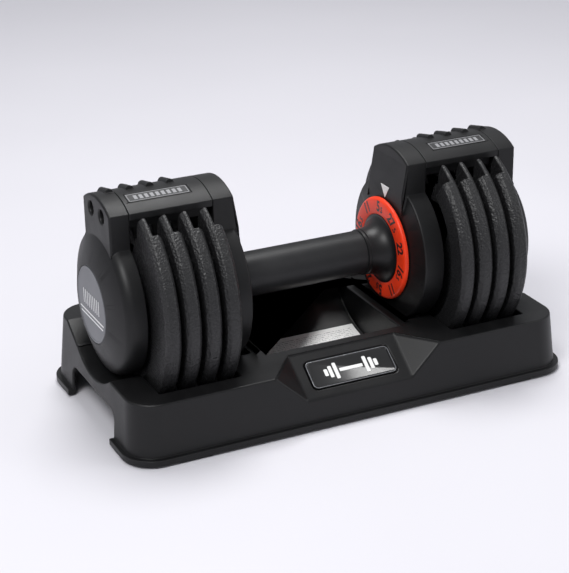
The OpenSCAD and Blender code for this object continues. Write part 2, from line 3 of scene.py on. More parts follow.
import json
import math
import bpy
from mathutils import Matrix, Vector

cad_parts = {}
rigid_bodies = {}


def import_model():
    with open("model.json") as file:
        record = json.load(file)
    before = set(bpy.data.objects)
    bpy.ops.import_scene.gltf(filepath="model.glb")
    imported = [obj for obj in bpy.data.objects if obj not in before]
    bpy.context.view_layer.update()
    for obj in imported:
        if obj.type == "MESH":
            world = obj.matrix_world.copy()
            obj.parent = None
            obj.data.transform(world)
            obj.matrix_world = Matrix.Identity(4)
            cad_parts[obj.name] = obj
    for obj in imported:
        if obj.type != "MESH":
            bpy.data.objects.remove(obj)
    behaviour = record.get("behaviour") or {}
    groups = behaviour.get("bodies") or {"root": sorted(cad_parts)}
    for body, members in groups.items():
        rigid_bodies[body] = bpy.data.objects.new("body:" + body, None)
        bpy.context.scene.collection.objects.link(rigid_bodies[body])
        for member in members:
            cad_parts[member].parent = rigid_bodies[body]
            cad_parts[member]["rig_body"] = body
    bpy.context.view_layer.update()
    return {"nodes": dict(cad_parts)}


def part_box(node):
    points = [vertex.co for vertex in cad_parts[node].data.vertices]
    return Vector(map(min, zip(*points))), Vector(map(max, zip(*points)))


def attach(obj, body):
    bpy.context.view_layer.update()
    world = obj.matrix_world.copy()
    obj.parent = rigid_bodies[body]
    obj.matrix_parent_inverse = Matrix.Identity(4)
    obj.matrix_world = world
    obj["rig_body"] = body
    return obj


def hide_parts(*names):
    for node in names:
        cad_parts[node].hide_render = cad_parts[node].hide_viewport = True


bl_info = {
    "name": "Adjustable dumbbell",
    "version": (1, 0, 0),
    "blender": (4, 5, 0),
    "location": "View3D > Sidebar > Dumbbell",
    "description": "Finishes the twist-handle dumbbell and its storage tray",
    "category": "Object",
}

import bmesh
import bpy
from mathutils import Matrix, Vector

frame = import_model()
AXIS_Z = 0.5 * (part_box("drive_shaft")[0].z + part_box("drive_shaft")[1].z)
CAP_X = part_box("right_outer_cap")[0].x
DIAL_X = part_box("dial_ring")[0].x
DIAL_PROUD = 0.009            # the dial stands this far out from the heads' side wall
HEAD_X = DIAL_X + DIAL_PROUD
DIAL_R = 0.5 * (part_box("dial_ring")[1].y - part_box("dial_ring")[0].y)
SIDES = {"left": -1, "right": 1}
PLATES = [f"{side}_plate_{i}" for side in SIDES for i in (1, 2, 3, 4)]


# ---- sizes and colours a user may change ------------------------------

class DumbbellFinish(bpy.types.PropertyGroup):
    """Colours of the dumbbell's finishes"""

    plastic: bpy.props.FloatVectorProperty(
        name="Housing plastic", description="Colour of the moulded heads",
        subtype="COLOR", default=(0.0060, 0.0060, 0.0064), min=0, max=1)
    tray: bpy.props.FloatVectorProperty(
        name="Tray plastic", description="Colour of the storage tray",
        subtype="COLOR", default=(0.0062, 0.0062, 0.0066), min=0, max=1)
    iron: bpy.props.FloatVectorProperty(
        name="Plate coating", description="Colour of the hammered coating on the plates",
        subtype="COLOR", default=(0.0095, 0.0095, 0.0103), min=0, max=1)
    dial: bpy.props.FloatVectorProperty(
        name="Dial", description="Colour of the dial ring",
        subtype="COLOR", default=(0.86, 0.046, 0.010), min=0, max=1)
    badge: bpy.props.FloatVectorProperty(
        name="Badge", description="Colour of the brushed badge",
        subtype="COLOR", default=(0.20, 0.205, 0.215), min=0, max=1)


class DumbbellSizes(bpy.types.PropertyGroup):
    """Sizes of the dumbbell's small details"""

    soft_edge: bpy.props.FloatProperty(
        name="Moulded edge", description="Radius of the moulded edges",
        unit="LENGTH", default=0.00045, min=0.0002, max=0.003)
    knurl_pitch: bpy.props.FloatProperty(
        name="Knurl pitch", description="Distance between two ridges of the grip's knurl",
        unit="LENGTH", default=0.0020, min=0.001, max=0.004)
    knurl_depth: bpy.props.FloatProperty(
        name="Knurl depth", description="Height of the knurl's points",
        unit="LENGTH", default=0.00042, min=0.0001, max=0.001)
    numeral: bpy.props.FloatProperty(
        name="Numeral height", description="Height of the dial's numerals",
        unit="LENGTH", default=0.0088, min=0.004, max=0.012)
    line: bpy.props.FloatProperty(
        name="Printed line", description="Thickness of what is printed on a surface",
        unit="LENGTH", default=0.00012, min=0.00005, max=0.0005)


def finish():
    return bpy.context.scene.dumbbell_finish


def sizes():
    return bpy.context.scene.dumbbell_sizes


# ---- materials --------------------------------------------------------

class Shader:
    """One material under construction, with its pattern in Object coordinates"""

    def __init__(self, name, colour=(0.5, 0.5, 0.5), rough=0.5, metal=0.0):
        self.mat = bpy.data.materials.new(name)
        self.mat.use_nodes = True
        self.tree = self.mat.node_tree
        self.tree.nodes.clear()
        out = self.add("ShaderNodeOutputMaterial")
        self.bsdf = self.add("ShaderNodeBsdfPrincipled")
        self.link(self.bsdf.outputs[0], out.inputs["Surface"])
        self.bsdf.inputs["Base Color"].default_value = (*colour, 1)
        self.bsdf.inputs["Roughness"].default_value = rough
        self.bsdf.inputs["Metallic"].default_value = metal
        self.mat.diffuse_color = (*colour, 1)
        self.coord = self.add("ShaderNodeTexCoord").outputs["Object"]

    def add(self, kind, **values):
        node = self.tree.nodes.new(kind)
        for key, value in values.items():
            if hasattr(node, key):
                setattr(node, key, value)
            else:
                node.inputs[key.replace("_", " ")].default_value = value
        return node

    def link(self, a, b):
        self.tree.links.new(a, b)

    def place(self, scale=(1, 1, 1), rotation=(0, 0, 0), location=(0, 0, 0)):
        node = self.add("ShaderNodeMapping")
        node.inputs["Scale"].default_value = scale
        node.inputs["Rotation"].default_value = rotation
        node.inputs["Location"].default_value = location
        self.link(self.coord, node.inputs["Vector"])
        return node.outputs[0]

    def noise(self, scale, detail=2.0, rough=0.5, where=None):
        node = self.add("ShaderNodeTexNoise", Scale=scale, Detail=detail, Roughness=rough)
        self.link(where or self.coord, node.inputs["Vector"])
        return node.outputs["Fac"]

    def cells(self, scale, smooth=0.6, where=None):
        node = self.add("ShaderNodeTexVoronoi", feature="SMOOTH_F1", Scale=scale)
        node.inputs["Smoothness"].default_value = smooth
        self.link(where or self.coord, node.inputs["Vector"])
        return node.outputs["Distance"]

    def ramp(self, value, low, high, out_low, out_high):
        node = self.add("ShaderNodeMapRange")
        node.clamp = True
        for key, v in (("From Min", low), ("From Max", high), ("To Min", out_low), ("To Max", out_high)):
            node.inputs[key].default_value = v
        self.link(value, node.inputs["Value"])
        return node.outputs["Result"]

    def math(self, op, a, b):
        node = self.add("ShaderNodeMath", operation=op)
        for i, v in enumerate((a, b)):
            if isinstance(v, (int, float)):
                node.inputs[i].default_value = v
            else:
                self.link(v, node.inputs[i])
        return node.outputs[0]

    def mix(self, fac, a, b):
        node = self.add("ShaderNodeMix", data_type="RGBA")
        self.link(fac, node.inputs[0])
        for i, v in ((6, a), (7, b)):
            if isinstance(v, tuple):
                node.inputs[i].default_value = (*v, 1)
            else:
                self.link(v, node.inputs[i])
        return node.outputs[2]

    def colour(self, socket):
        self.link(socket, self.bsdf.inputs["Base Color"])

    def rough(self, socket):
        self.link(socket, self.bsdf.inputs["Roughness"])

    def bump(self, height, distance, strength=1.0, under=None):
        node = self.add("ShaderNodeBump", Strength=strength, Distance=distance)
        self.link(height, node.inputs["Height"])
        if under:
            self.link(under, node.inputs["Normal"])
        self.link(node.outputs[0], self.bsdf.inputs["Normal"])
        return node.outputs[0]


def shade(colour, factor):
    return tuple(min(1.0, c * factor) for c in colour)


def moulded(name, colour, rough, grain=2600.0, depth=0.00006, specular=0.32):
    """Spark-eroded plastic: fine grain, cloudy sheen and faint scuffs"""
    s = Shader(name, colour, rough)
    s.bsdf.inputs["Specular IOR Level"].default_value = specular
    cloud = s.noise(38.0, 3.0, 0.6)
    fine = s.noise(grain, 2.0, 0.6)
    scuff = s.noise(240.0, 5.0, 0.7, s.place((1, 0.28, 1), (0.2, 0.1, 0.5)))
    s.colour(s.mix(s.ramp(cloud, 0.35, 0.65, 0, 1), shade(colour, 0.90), shade(colour, 1.14)))
    sheen = s.math("ADD", s.ramp(cloud, 0.3, 0.7, rough - 0.045, rough + 0.045),
                   s.ramp(scuff, 0.60, 0.74, 0.0, 0.07))
    s.rough(sheen)
    grainy = s.bump(fine, depth, 0.55)
    s.bump(cloud, 0.0004, 0.06, grainy)
    return s.mat


def hammered(name, colour):
    """Hammer-finish powder coat on cast iron"""
    s = Shader(name, colour, 0.44)
    s.bsdf.inputs["Specular IOR Level"].default_value = 0.50
    warp = s.add("ShaderNodeTexNoise", Scale=160.0, Detail=2.0)
    s.link(s.coord, warp.inputs["Vector"])
    spread = s.add("ShaderNodeVectorMath", operation="MULTIPLY_ADD")
    s.link(warp.outputs["Color"], spread.inputs[0])
    spread.inputs[1].default_value = (0.0011, 0.0011, 0.0011)
    s.link(s.coord, spread.inputs[2])
    pit = s.cells(620.0, 0.75, spread.outputs[0])
    cast = s.noise(90.0, 4.0, 0.55)
    fine = s.noise(2600.0, 1.0, 0.5)
    s.colour(s.mix(s.ramp(pit, 0.1, 0.62, 0, 1), shade(colour, 1.24), shade(colour, 0.80)))
    s.rough(s.math("ADD", s.ramp(pit, 0.1, 0.6, 0.36, 0.50), s.ramp(cast, 0.35, 0.65, -0.03, 0.04)))
    first = s.bump(pit, 0.00065, 0.80)
    second = s.bump(fine, 0.00004, 0.4, first)
    s.bump(cast, 0.0006, 0.14, second)
    return s.mat


def metal(name, colour, rough, along=(1, 1, 1), streak=900.0, depth=0.00002):
    """Turned or brushed metal, streaked along one direction"""
    s = Shader(name, colour, rough, 1.0)
    lines = s.noise(streak, 3.0, 0.6, s.place(along))
    cloud = s.noise(60.0, 3.0, 0.6)
    s.colour(s.mix(s.ramp(lines, 0.3, 0.7, 0, 1), shade(colour, 0.86), shade(colour, 1.1)))
    s.rough(s.math("ADD", s.ramp(lines, 0.3, 0.7, rough - 0.06, rough + 0.06),
                   s.ramp(cloud, 0.35, 0.65, -0.03, 0.04)))
    s.bump(lines, depth, 0.5)
    return s.mat


def printed(name, colour, rough):
    """Ink or paint laid on a surface"""
    s = Shader(name, colour, rough)
    fine = s.noise(1800.0, 2.0, 0.6)
    s.colour(s.mix(s.ramp(fine, 0.3, 0.7, 0, 1), shade(colour, 0.93), shade(colour, 1.04)))
    s.rough(s.ramp(fine, 0.3, 0.7, rough - 0.05, rough + 0.06))
    s.bump(fine, 0.00002, 0.3)
    return s.mat


def gloss(name, colour, rough):
    """Doming resin or lacquer with a faint orange peel"""
    s = Shader(name, colour, rough)
    s.bsdf.inputs["Coat Weight"].default_value = 0.25
    s.bsdf.inputs["Coat Roughness"].default_value = 0.18
    peel = s.noise(320.0, 2.0, 0.5)
    dust = s.noise(1500.0, 3.0, 0.7)
    s.rough(s.ramp(dust, 0.5, 0.75, rough, rough + 0.12))
    s.colour(s.mix(s.ramp(dust, 0.62, 0.75, 0, 1), colour, shade(colour, 1.5)))
    s.bump(peel, 0.00008, 0.15)
    return s.mat


def paper(name):
    """Printed paper: rows of faint grey dashes over white, with an orange line on its front edge"""
    s = Shader(name, (0.82, 0.82, 0.80), 0.6)
    split = s.add("ShaderNodeSeparateXYZ")
    s.link(s.coord, split.inputs[0])
    x, y = split.outputs[0], split.outputs[1]
    low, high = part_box("tray_sticker")
    row = s.math("FRACT", s.math("MULTIPLY", y, 1 / 0.0021), 0)
    ink_row = s.math("LESS_THAN", row, 0.42)
    dash = s.add("ShaderNodeTexNoise", Scale=1.0, Detail=1.0)
    s.link(s.place((900, 476, 0)), dash.inputs["Vector"])
    ink = s.math("MULTIPLY", ink_row, s.math("GREATER_THAN", dash.outputs["Fac"], 0.50))
    margin = s.math("MULTIPLY", s.math("LESS_THAN", s.math("ABSOLUTE", x, 0), high.x - 0.004),
                    s.math("MULTIPLY", s.math("GREATER_THAN", y, low.y + 0.0035),
                           s.math("LESS_THAN", y, high.y - 0.004)))
    stripe = s.math("LESS_THAN", y, low.y + 0.0013)
    fibre = s.noise(900.0, 4.0, 0.7)
    ground = s.mix(s.ramp(fibre, 0.3, 0.7, 0, 1), (0.76, 0.76, 0.74), (0.86, 0.86, 0.85))
    inked = s.mix(s.math("MULTIPLY", s.math("MULTIPLY", ink, margin), 0.62), ground, (0.16, 0.16, 0.17))
    s.colour(s.mix(stripe, inked, (0.78, 0.22, 0.03)))
    s.rough(s.ramp(fibre, 0.3, 0.7, 0.5, 0.66))
    s.bump(fibre, 0.00003, 0.4)
    return s.mat


def badge_metal(name, colour):
    """Aluminium disc, brushed along one slanting direction"""
    s = Shader(name, colour, 0.34, 1.0)
    lines = s.noise(700.0, 4.0, 0.65, s.place((1, 0.05, 1), (math.radians(38), 0, 0)))
    wave = s.noise(34.0, 2.0, 0.5)
    s.colour(s.mix(s.ramp(lines, 0.3, 0.7, 0, 1), shade(colour, 0.84), shade(colour, 1.12)))
    s.rough(s.math("ADD", s.ramp(lines, 0.3, 0.7, 0.36, 0.50), s.ramp(wave, 0.3, 0.7, -0.03, 0.04)))
    s.bump(lines, 0.00003, 0.4)
    return s.mat


MATERIALS = {}


def make_materials():
    f = finish()
    plastic, tray, iron = tuple(f.plastic), tuple(f.tray), tuple(f.iron)
    MATERIALS.update(
        housing=moulded("housing_plastic", plastic, 0.46),
        tray=moulded("tray_plastic", tray, 0.42, 2100.0, 0.00005),
        cover=moulded("cover_plastic", shade(plastic, 1.05), 0.44),
        # painted shade: the housing plastic darkened to 0.35 for the housing backs, which sit in a recess
        recess=moulded("recess_plastic", shade(plastic, 0.35), 0.62),
        slider=moulded("slider_plastic", (0.55, 0.20, 0.03), 0.45),
        iron=hammered("plate_coating", iron),
        grip=moulded("grip_coating", (0.016, 0.016, 0.017), 0.42, 3200.0, 0.00003),
        hub=moulded("hub_plastic", (0.007, 0.007, 0.0075), 0.38, 3000.0, 0.00002),
        dial=moulded("dial_plastic", tuple(f.dial), 0.40, 3000.0, 0.00002),
        ink=printed("numeral_ink", (0.012, 0.012, 0.013), 0.42),
        white=printed("pointer_paint", (0.80, 0.80, 0.79), 0.45),
        label=printed("label_print", (0.26, 0.26, 0.27), 0.50),
        label_ground=gloss("label_ground", (0.010, 0.010, 0.011), 0.48),
        gloss=gloss("plaque_lacquer", (0.006, 0.006, 0.0065), 0.30),
        bright=metal("plaque_edge", (0.62, 0.63, 0.65), 0.22, (1, 0.2, 1)),
        badge=badge_metal("badge_aluminium", tuple(f.badge)),
        badge_print=printed("badge_print", (0.78, 0.78, 0.78), 0.35),
        collar=metal("collar_steel", (0.60, 0.60, 0.62), 0.20, (1, 0.06, 0.06), 2200.0),
        shaft=metal("shaft_steel", (0.42, 0.42, 0.44), 0.30, (1, 0.06, 0.06), 2200.0),
        disc=metal("selector_steel", (0.40, 0.40, 0.42), 0.36, (0.2, 1, 1)),
        screw=metal("screw_steel", (0.09, 0.09, 0.10), 0.38),
        spring=metal("spring_steel", (0.50, 0.50, 0.52), 0.26),
        bronze=metal("bushing_bronze", (0.55, 0.36, 0.16), 0.34, (1, 0.06, 0.06)),
        bar=moulded("bar_paint", (0.015, 0.015, 0.016), 0.50),
        rubber=moulded("foot_rubber", (0.013, 0.013, 0.013), 0.72, 1500.0, 0.00009),
        paper=paper("sticker_paper"),
    )


# ---- mesh helpers -----------------------------------------------------

def new_piece(name, mesh, material, body, slot, *nodes):
    """Puts a finished mesh in the scene, on its body"""
    piece = bpy.data.objects.new(name, mesh)
    bpy.context.scene.collection.objects.link(piece)
    if material is not None:
        mesh.materials.clear()
        mesh.materials.append(MATERIALS[material])
    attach(piece, body)
    if nodes:
        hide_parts(*nodes)
    return piece


def body_of(node):
    return frame["nodes"][node]["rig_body"]


def baked(obj):
    """The evaluated mesh of an object with live modifiers, as a plain mesh; the object goes"""
    bpy.context.view_layer.update()
    graph = bpy.context.evaluated_depsgraph_get()
    mesh = bpy.data.meshes.new_from_object(obj.evaluated_get(graph))
    name = obj.name
    old = obj.data
    bpy.data.objects.remove(obj)
    bpy.data.meshes.remove(old)
    mesh.name = name
    return mesh


def smooth_by_angle(bm, degrees):
    for face in bm.faces:
        face.smooth = True
    for edge in bm.edges:
        edge.smooth = not (edge.is_manifold and edge.calc_face_angle(0) > math.radians(degrees))


def softened(node, width, segments=3, angle=26.0):
    """A copy of a CAD node's mesh with rounded edges; width is a number or a rule on the edge"""
    bm = bmesh.new()
    bm.from_mesh(frame["nodes"][node].data)
    bmesh.ops.remove_doubles(bm, verts=bm.verts, dist=2e-6)
    bmesh.ops.dissolve_limit(bm, angle_limit=math.radians(0.6), verts=bm.verts, edges=bm.edges)
    rule = width if callable(width) else (lambda a, b, turn: width)
    layer = bm.edges.layers.float.new("bevel_weight_edge")
    found = {}
    for edge in bm.edges:
        if edge.is_manifold and edge.calc_face_angle(0) > math.radians(angle):
            a, b = (v.co for v in edge.verts)
            found[edge] = rule(a, b, math.degrees(edge.calc_face_angle(0)))
    top = max(found.values(), default=0.001)
    for edge, value in found.items():
        edge[layer] = value / top
    smooth_by_angle(bm, angle)
    mesh = bpy.data.meshes.new(node + "_soft")
    bm.to_mesh(mesh)
    bm.free()
    mesh.materials.clear()
    obj = bpy.data.objects.new(node + "_soft", mesh)
    bpy.context.scene.collection.objects.link(obj)
    bevel = obj.modifiers.new("edge", "BEVEL")
    bevel.limit_method = "WEIGHT"
    bevel.width = top
    bevel.segments = segments
    bevel.use_clamp_overlap = False
    bevel.harden_normals = True
    bevel.miter_outer = "MITER_SHARP"
    return baked(obj)


def lathe(name, outline, steps=128, angle=30.0):
    """Turned shape round the handle axis from (x, radius) points, as a closed ring"""
    bm = bmesh.new()
    rings = []
    for k in range(steps):
        a = 2 * math.pi * k / steps
        rings.append([bm.verts.new((x, r * math.cos(a), AXIS_Z + r * math.sin(a))) for x, r in outline])
    n = len(outline)
    for k in range(steps):
        for i in range(n):
            j = (i + 1) % n
            bm.faces.new((rings[k][i], rings[k][j], rings[(k + 1) % steps][j], rings[(k + 1) % steps][i]))
    bmesh.ops.recalc_face_normals(bm, faces=bm.faces)
    smooth_by_angle(bm, angle)
    mesh = bpy.data.meshes.new(name)
    bm.to_mesh(mesh)
    bm.free()
    return mesh


def slab(bm, outline, depth, place):
    """Adds a flat outline with thickness: outline in XY, bottom at z = 0, then moved by place"""
    top = [bm.verts.new(place @ Vector((x, y, depth))) for x, y in outline]
    low = [bm.verts.new(place @ Vector((x, y, 0))) for x, y in outline]
    bm.faces.new(top)
    bm.faces.new(list(reversed(low)))
    n = len(outline)
    for i in range(n):
        j = (i + 1) % n
        bm.faces.new((low[i], low[j], top[j], top[i]))


def rounded_rect(w, h, r, steps=5):
    points = []
    for cx, cy, start in ((w / 2 - r, h / 2 - r, 0), (r - w / 2, h / 2 - r, 90),
                          (r - w / 2, r - h / 2, 180), (w / 2 - r, r - h / 2, 270)):
        for i in range(steps + 1):
            a = math.radians(start + 90 * i / steps)
            points.append((cx + r * math.cos(a), cy + r * math.sin(a)))
    return points


def frame_ring(bm, w, h, r, line, depth, place, steps=5):
    """Adds a thin raised frame round a rounded rectangle"""
    outer = rounded_rect(w, h, r, steps)
    inner = rounded_rect(w - 2 * line, h - 2 * line, max(r - line, line / 4), steps)
    loops = []
    for outline, z in ((outer, 0), (outer, depth), (inner, depth), (inner, 0)):
        loops.append([bm.verts.new(place @ Vector((x, y, z))) for x, y in outline])
    n = len(outer)
    for k in range(4):
        a, b = loops[k], loops[(k + 1) % 4]
        for i in range(n):
            j = (i + 1) % n
            bm.faces.new((a[i], a[j], b[j], b[i]))


def mesh_from(bm, name, angle=30.0):
    bmesh.ops.recalc_face_normals(bm, faces=bm.faces)
    smooth_by_angle(bm, angle)
    mesh = bpy.data.meshes.new(name)
    bm.to_mesh(mesh)
    bm.free()
    return mesh


def mirrored(mesh, name):
    """The same mesh on the other head"""
    bm = bmesh.new()
    bm.from_mesh(mesh)
    bmesh.ops.scale(bm, vec=(-1, 1, 1), verts=bm.verts)
    bmesh.ops.reverse_faces(bm, faces=bm.faces)
    other = bpy.data.meshes.new(name)
    bm.to_mesh(other)
    bm.free()
    return other


# ---- geometry node trees ----------------------------------------------

class Tree:
    """One geometry node tree under construction, with named inputs"""

    def __init__(self, name, inputs, takes_mesh=False):
        self.group = bpy.data.node_groups.new(name, "GeometryNodeTree")
        face = self.group.interface
        self.sockets = {}
        if takes_mesh:
            face.new_socket("Geometry", in_out="INPUT", socket_type="NodeSocketGeometry")
        for label, (kind, default) in inputs.items():
            socket = face.new_socket(label, in_out="INPUT", socket_type="NodeSocket" + kind)
            if default is not None:
                socket.default_value = default
            self.sockets[label] = socket.identifier
        face.new_socket("Geometry", in_out="OUTPUT", socket_type="NodeSocketGeometry")
        self.given = self.add("NodeGroupInput")

    def add(self, kind, **values):
        node = self.group.nodes.new(kind)
        for key, value in values.items():
            setattr(node, key, value)
        return node

    def link(self, a, b):
        self.group.links.new(a, b)

    def calc(self, op, a, b=0.0, c=0.0):
        node = self.add("ShaderNodeMath", operation=op)
        for i, v in enumerate((a, b, c)):
            if isinstance(v, (int, float)):
                node.inputs[i].default_value = v
            else:
                self.link(v, node.inputs[i])
        return node.outputs[0]

    def vector(self, x, y, z):
        node = self.add("ShaderNodeCombineXYZ")
        for i, v in enumerate((x, y, z)):
            if isinstance(v, (int, float)):
                node.inputs[i].default_value = v
            else:
                self.link(v, node.inputs[i])
        return node.outputs[0]

    def end(self, geometry):
        real = self.add("GeometryNodeRealizeInstances")
        finishing = self.add("GeometryNodeSetMaterial")
        out = self.add("NodeGroupOutput")
        self.link(geometry, real.inputs[0])
        self.link(real.outputs[0], finishing.inputs["Geometry"])
        self.link(self.given.outputs["Material"], finishing.inputs["Material"])
        self.link(finishing.outputs[0], out.inputs[0])

    def build(self, name, mesh=None, **values):
        """Runs the tree once on a fresh object and returns the plain mesh"""
        obj = bpy.data.objects.new(name, mesh or bpy.data.meshes.new(name))
        bpy.context.scene.collection.objects.link(obj)
        run = obj.modifiers.new("build", "NODES")
        run.node_group = self.group
        for label, value in values.items():
            run[self.sockets[label.replace("_", " ")]] = value
        return baked(obj)


def knurl_tree():
    """Grid wrapped round the handle axis, every other point raised to a diamond"""
    t = Tree("knurled_grip", {
        "Length": ("Float", 0.1), "Radius": ("Float", 0.0177), "Depth": ("Float", 0.0003),
        "Rows": ("Int", 100), "Ribs": ("Int", 100), "Start": ("Float", 0.0), "Height": ("Float", 0.096),
        "Material": ("Material", None)})
    g = t.given.outputs
    grid = t.add("GeometryNodeMeshGrid")
    grid.inputs["Size X"].default_value = 1
    grid.inputs["Size Y"].default_value = 1
    t.link(g["Rows"], grid.inputs["Vertices X"])
    t.link(g["Ribs"], grid.inputs["Vertices Y"])
    index = t.add("GeometryNodeInputIndex").outputs[0]
    col = t.calc("FLOOR", t.calc("DIVIDE", index, g["Ribs"]))
    row = t.calc("SUBTRACT", index, t.calc("MULTIPLY", col, g["Ribs"]))
    odd = t.calc("MODULO", t.calc("ADD", col, row), 2.0)
    last_col = t.calc("SUBTRACT", g["Rows"], 1.0)
    last_row = t.calc("SUBTRACT", g["Ribs"], 1.0)
    inside = t.calc("MULTIPLY", t.calc("GREATER_THAN", col, 0.5),
                    t.calc("LESS_THAN", col, t.calc("SUBTRACT", last_col, 0.5)))
    lift = t.calc("MULTIPLY", t.calc("MULTIPLY", odd, inside), g["Depth"])
    radius = t.calc("ADD", t.calc("SUBTRACT", g["Radius"], g["Depth"]), lift)
    turn = t.calc("MULTIPLY", t.calc("DIVIDE", row, last_row), 2 * math.pi)
    place = t.vector(
        t.calc("MULTIPLY_ADD", t.calc("DIVIDE", col, last_col), g["Length"], g["Start"]),
        t.calc("MULTIPLY", radius, t.calc("COSINE", turn)),
        t.calc("MULTIPLY_ADD", radius, t.calc("SINE", turn), g["Height"]))
    move = t.add("GeometryNodeSetPosition")
    t.link(grid.outputs["Mesh"], move.inputs["Geometry"])
    t.link(place, move.inputs["Position"])
    merge = t.add("GeometryNodeMergeByDistance")
    merge.inputs["Distance"].default_value = 1e-6
    t.link(move.outputs[0], merge.inputs["Geometry"])
    flat = t.add("GeometryNodeSetShadeSmooth")
    flat.inputs["Shade Smooth"].default_value = False
    t.link(merge.outputs[0], flat.inputs["Geometry"])
    t.end(flat.outputs[0])
    return t


def row_tree(name):
    """Copies of one small mesh at equal steps along a line"""
    t = Tree(name, {
        "Count": ("Int", 3), "Start": ("Vector", (0, 0, 0)), "Step": ("Vector", (0.01, 0, 0)),
        "Material": ("Material", None)}, takes_mesh=True)
    g = t.given.outputs
    line = t.add("GeometryNodeMeshLine")
    t.link(g["Count"], line.inputs["Count"])
    t.link(g["Start"], line.inputs["Start Location"])
    t.link(g["Step"], line.inputs["Offset"])
    copies = t.add("GeometryNodeInstanceOnPoints")
    t.link(line.outputs[0], copies.inputs["Points"])
    t.link(g["Geometry"], copies.inputs["Instance"])
    t.end(copies.outputs[0])
    return t


def turn_tree(name):
    """Copies of one small mesh turned round the handle axis by equal steps"""
    t = Tree(name, {
        "Count": ("Int", 2), "Centre": ("Vector", (0, 0, 0)),
        "Material": ("Material", None)}, takes_mesh=True)
    g = t.given.outputs
    line = t.add("GeometryNodeMeshLine")
    t.link(g["Count"], line.inputs["Count"])
    line.inputs["Offset"].default_value = (0, 0, 0)
    index = t.add("GeometryNodeInputIndex").outputs[0]
    turn = t.vector(t.calc("MULTIPLY", t.calc("DIVIDE", index, g["Count"]), 2 * math.pi), 0.0, 0.0)
    copies = t.add("GeometryNodeInstanceOnPoints")
    t.link(line.outputs[0], copies.inputs["Points"])
    t.link(g["Geometry"], copies.inputs["Instance"])
    t.link(turn, copies.inputs["Rotation"])
    move = t.add("GeometryNodeTransform")
    t.link(copies.outputs[0], move.inputs["Geometry"])
    t.link(g["Centre"], move.inputs["Translation"])
    t.end(move.outputs[0])
    return t


# ---- operators --------------------------------------------------------

class DUMBBELL_OT_materials(bpy.types.Operator):
    """Make the finishes"""

    bl_idname = "dumbbell.materials"
    bl_label = "Finishes"

    def execute(self, context):
        make_materials()
        plain = {
            "tray_feet": "rubber", "left_bridge_bar": "bar", "right_bridge_bar": "bar",
            # the housing backs take the darkened copy of the housing plastic, painted shade for their recess
            "left_housing_back": "recess", "right_housing_back": "recess",
            "left_bushings": "bronze", "right_bushings": "bronze",
            "drive_shaft": "shaft", "handle_tube": "shaft", "index_wheel": "disc",
            "left_spacers": "shaft", "right_spacers": "shaft", "shaft_nuts": "collar",
            "detent_ball": "collar", "detent_spring": "spring", "lock_spring": "spring",
            "lock_slider": "slider", "tray_sticker": "paper", "pointer_mark": "white",
        }
        plain.update({f"{side}_disc_{i}": "disc" for side in SIDES for i in (1, 2, 3, 4)})
        for node, material in plain.items():
            for slot in frame["nodes"][node].material_slots:
                slot.material = MATERIALS[material]
        return {"FINISHED"}


class DUMBBELL_OT_tray(bpy.types.Operator):
    """Make the storage tray with its rounded edges"""

    bl_idname = "dumbbell.tray"
    bl_label = "Storage tray"

    def execute(self, context):
        mesh = softened("tray_shell", tray_edge, 3, 24.0)
        new_piece("tray_body", mesh, "tray", "tray", "tray_plastic", "tray_shell")
        return {"FINISHED"}


def tray_edge(a, b, turn):
    """The tray's rims are round; fins and ribs have only a broken edge"""
    middle = (a + b) / 2
    away = math.hypot(middle.y, middle.z - AXIS_Z)
    if middle.z < 0.010 or (a - b).length < 0.0004:
        return 0.0005
    if 0.093 < abs(middle.x) < 0.156 and away < 0.0885 and middle.z < 0.048:
        return 0.0003
    if turn < 50:
        return 0.0016
    return 0.0014


class DUMBBELL_OT_heads(bpy.types.Operator):
    """Make the inner housings and the outer caps of both heads"""

    bl_idname = "dumbbell.heads"
    bl_label = "Head casings"

    def execute(self, context):
        for side in SIDES:
            housing = softened(f"{side}_inner_housing", self.housing_edge, 4)
            new_piece(f"{side}_housing", housing, "housing", "head_frame",
                      "housing_plastic", f"{side}_inner_housing")
            cap = softened(f"{side}_outer_cap", self.cap_edge, 4)
            new_piece(f"{side}_cap", cap, "housing", "head_frame", "housing_plastic", f"{side}_outer_cap")
        return {"FINISHED"}

    @staticmethod
    def housing_edge(a, b, turn):
        face = max(abs(a.x), abs(b.x)) < HEAD_X + 0.0002
        radius = math.hypot((a.y + b.y) / 2, (a.z + b.z) / 2 - AXIS_Z)
        return 0.0016 if face and turn > 60 and radius > 0.045 else 0.0006

    @staticmethod
    def cap_edge(a, b, turn):
        radius = math.hypot((a.y + b.y) / 2, (a.z + b.z) / 2 - AXIS_Z)
        outer = min(abs(a.x), abs(b.x)) > CAP_X + 0.010
        if outer and radius > 0.058:
            return 0.0018
        if outer and abs(abs(a.y) - abs(b.y)) < 0.0002 and (a - b).length > 0.01:
            return 0.0018
        return 0.0006


class DUMBBELL_OT_covers(bpy.types.Operator):
    """Make the arched covers with their rounded edges"""

    bl_idname = "dumbbell.covers"
    bl_label = "Top covers"

    def execute(self, context):
        for side in SIDES:
            node = f"{side}_top_cover"
            new_piece(f"{side}_cover", softened(node, sizes().soft_edge, 3), "cover", "head_frame",
                      "housing_plastic", node)
        return {"FINISHED"}


class DUMBBELL_OT_plates(bpy.types.Operator):
    """Make the eight cast plates"""

    bl_idname = "dumbbell.plates"
    bl_label = "Weight plates"

    def execute(self, context):
        for node in PLATES:
            mesh = softened(node, self.edge, 3, 20.0)
            new_piece(node + "_cast", mesh, "iron", body_of(node), "plate_iron", node)
        return {"FINISHED"}

    @staticmethod
    def edge(a, b, turn):
        high = min(a.z, b.z) > AXIS_Z + 0.045
        return 0.0016 if high and turn > 60 else 0.0010


